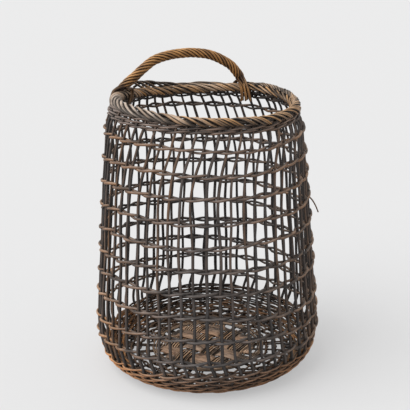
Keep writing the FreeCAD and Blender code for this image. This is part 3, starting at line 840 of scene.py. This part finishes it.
# Each foot: its place on the bow and round the rim, how many strands go outside, and the knots of an
# outer and an inner leg as turn in degrees, reach from the core, lift and spread of the strands.
FEET = {"left": (LAID_FROM, HANDLE_LEFT, 6,
                 ((0.0, 2.6, 9.6, 4.4), (5.0, 4.6, 6.4, 4.2), (11.0, 5.4, -0.6, 4.0)),
                 ((-14.0, 5.0, 7.0, 3.0), (-10.0, 8.4, -3.0, 3.6), (-5.0, 8.2, -13.0, 4.2))),
        "right": (LAID_TO - 1, HANDLE_RIGHT, 2,
                  ((4.0, 4.4, 11.0, 2.4), (6.5, 6.4, 7.0, 2.8), (8.5, 7.6, 2.0, 3.0)),
                  ((-3.0, 8.6, 4.0, 2.6), (-4.4, 9.0, -5.0, 3.1), (-4.8, 8.2, -15.0, 3.6)))}
chance = np.random.default_rng(20)
bow_course = unit(np.gradient(bow_line, axis=0))
bow_side = unit(np.cross(foot_right - foot_left, (0.0, 0.0, 1.0)))
bow_upright = np.cross(bow_side, bow_course)
twist = math.tan(LAY_ANGLE) / STRAND_LAY * length_along(bow_line)
turns = 2 * math.pi * np.arange(STRANDS)[:, None] / STRANDS - twist
lies = np.cos(turns)[..., None] * bow_side + np.sin(turns)[..., None] * bow_upright
legs = {}
for foot, (place, angle, outside, outer_leg, inner_leg) in FEET.items():
    order = np.argsort(-lies[:, place] @ polar(1.0, angle, 0.0))
    for group, side, leg in ((order[:outside], 1, outer_leg), (order[outside:], -1, inner_leg)):
        group = sorted(group, key=lambda strand: lies[strand, place] @ polar(1.0, angle + math.pi / 2, 0.0))
        for rank, strand in enumerate(group):
            legs[foot, strand] = []
            for turn, reach, lift, spread in leg:
                at = angle + math.radians(turn) + spread * (rank - (len(group) - 1) / 2) / RIM_RADIUS
                reach = reach + LEG_STAGGER * (-1) ** rank
                lift = lift + chance.uniform(-2.5, 1.5) * (lift < -3)
                legs[foot, strand].append((polar(rim_radius(at) + side * reach, at, rim_height(at) + lift),
                                           polar(side, at, 0.0)))
for number in range(STRANDS // 2):
    skins = []
    for strand in (number, number + STRANDS // 2):
        laid = [(bow_line[place] + lies[strand, place] * STRAND_LAY, lies[strand, place])
                for place in range(LAID_FROM, LAID_TO, LAID_STEP)]
        knots = legs["left", strand][::-1] + laid + legs["right", strand]
        count = 4 * len(knots)
        points = smooth_line([point for point, _ in knots], count)
        outward = unit(smooth_line([lie for _, lie in knots], count))
        place = np.arange(count)
        fade = np.interp(place, (0, 10, 24, count - 26, count - 12), (0.6, 0.5, 0.0, 0.0, 0.3))
        taper = np.interp(place, (0, 14, count - 15, count - 1), (1.1, 1.0, 1.0, 0.85))
        skins.append(round_rod(points, STRAND_ROD * taper * chance.uniform(0.93, 1.06),
                               chance.uniform(0.6, 1.15) - fade,
                               np.clip(chance.uniform(0.3, 1.0) - fade, 0, 1), outward=outward))
    piece = skin_piece("handle_strands_%d" % (number + 1), skins)
    piece.data.materials.append(handle_bark)
    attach(piece, "root")
    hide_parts("handle_strand_%d" % (number + 1))

# Floor, soft studio light from the upper left, and the camera at the photograph's viewing angle.
# The camera sees a floor with a slight glow, and plain grey paint throws the light back.
FLOOR_RADIUS = 9.0
FLOOR_COLOUR = (0.34, 0.34, 0.34, 1.0)
FLOOR_GLOW = (0.405, 0.405, 0.407, 1.0)
FLOOR_BOUNCE = (0.5, 0.5, 0.5, 1.0)
SKY = 0.65
SUN = 2.5
SUN_SOFTNESS = math.radians(60)
SUN_COURSE = (1.0, 0.4, -1.2)
bpy.ops.mesh.primitive_circle_add(vertices=96, radius=FLOOR_RADIUS, fill_type="NGON")
floor = bpy.context.object
floor.name = "floor"
floor_paint = bpy.data.materials.new("floor_paint")
floor_paint.use_nodes = True
paint = floor_paint.node_tree
seen = paint.nodes["Principled BSDF"]
seen.inputs["Base Color"].default_value = FLOOR_COLOUR
seen.inputs["Emission Color"].default_value = FLOOR_GLOW
seen.inputs["Emission Strength"].default_value = 1.0
thrown_back = add_node(paint, "ShaderNodeBsdfPrincipled", [("Base Color", FLOOR_BOUNCE)])
for shader in (seen, thrown_back):
    shader.inputs["Roughness"].default_value = 0.9
    shader.inputs["Specular IOR Level"].default_value = 0.1
to_camera = add_node(paint, "ShaderNodeLightPath").outputs["Is Camera Ray"]
both = add_node(paint, "ShaderNodeMixShader", [
    (0, to_camera), (1, thrown_back.outputs[0]), (2, seen.outputs[0])])
paint.links.new(both.outputs[0], paint.nodes["Material Output"].inputs["Surface"])
floor.data.materials.append(floor_paint)

world = bpy.data.worlds.new("studio")
bpy.context.scene.world = world
world.use_nodes = True
world.node_tree.nodes["Background"].inputs["Color"].default_value = (SKY, SKY, SKY, 1.0)

sun = bpy.data.lights.new("window_light", "SUN")
sun.energy = SUN
sun.angle = SUN_SOFTNESS
sun_object = bpy.data.objects.new("window_light", sun)
sun_object.rotation_euler = Vector(SUN_COURSE).to_track_quat("-Z", "Y").to_euler()
bpy.context.collection.objects.link(sun_object)

PICTURE_WIDTH = 410
FOCAL_LENGTH = 1014
CAMERA_SHIFT = -0.5
CAMERA_DISTANCE = 1.3485
CAMERA_LIFT = math.radians(18.90)
CAMERA_TARGET = Vector((0, 0, 0.2154))
CAMERA_ROLL = math.radians(-0.83)
camera_data = bpy.data.cameras.new("camera")
camera_data.sensor_fit = "HORIZONTAL"
camera_data.angle = 2 * math.atan(PICTURE_WIDTH / 2 / FOCAL_LENGTH)
camera_data.shift_x = CAMERA_SHIFT / PICTURE_WIDTH
camera = bpy.data.objects.new("camera", camera_data)
facing = Vector((0, math.cos(CAMERA_LIFT), -math.sin(CAMERA_LIFT)))
turned = facing.to_track_quat("-Z", "Y").to_matrix().to_4x4() @ Matrix.Rotation(CAMERA_ROLL, 4, "Z")
camera.matrix_world = Matrix.Translation(CAMERA_TARGET - facing * CAMERA_DISTANCE) @ turned
bpy.context.collection.objects.link(camera)
bpy.context.scene.camera = camera
bpy.context.scene.view_settings.view_transform = "Standard"
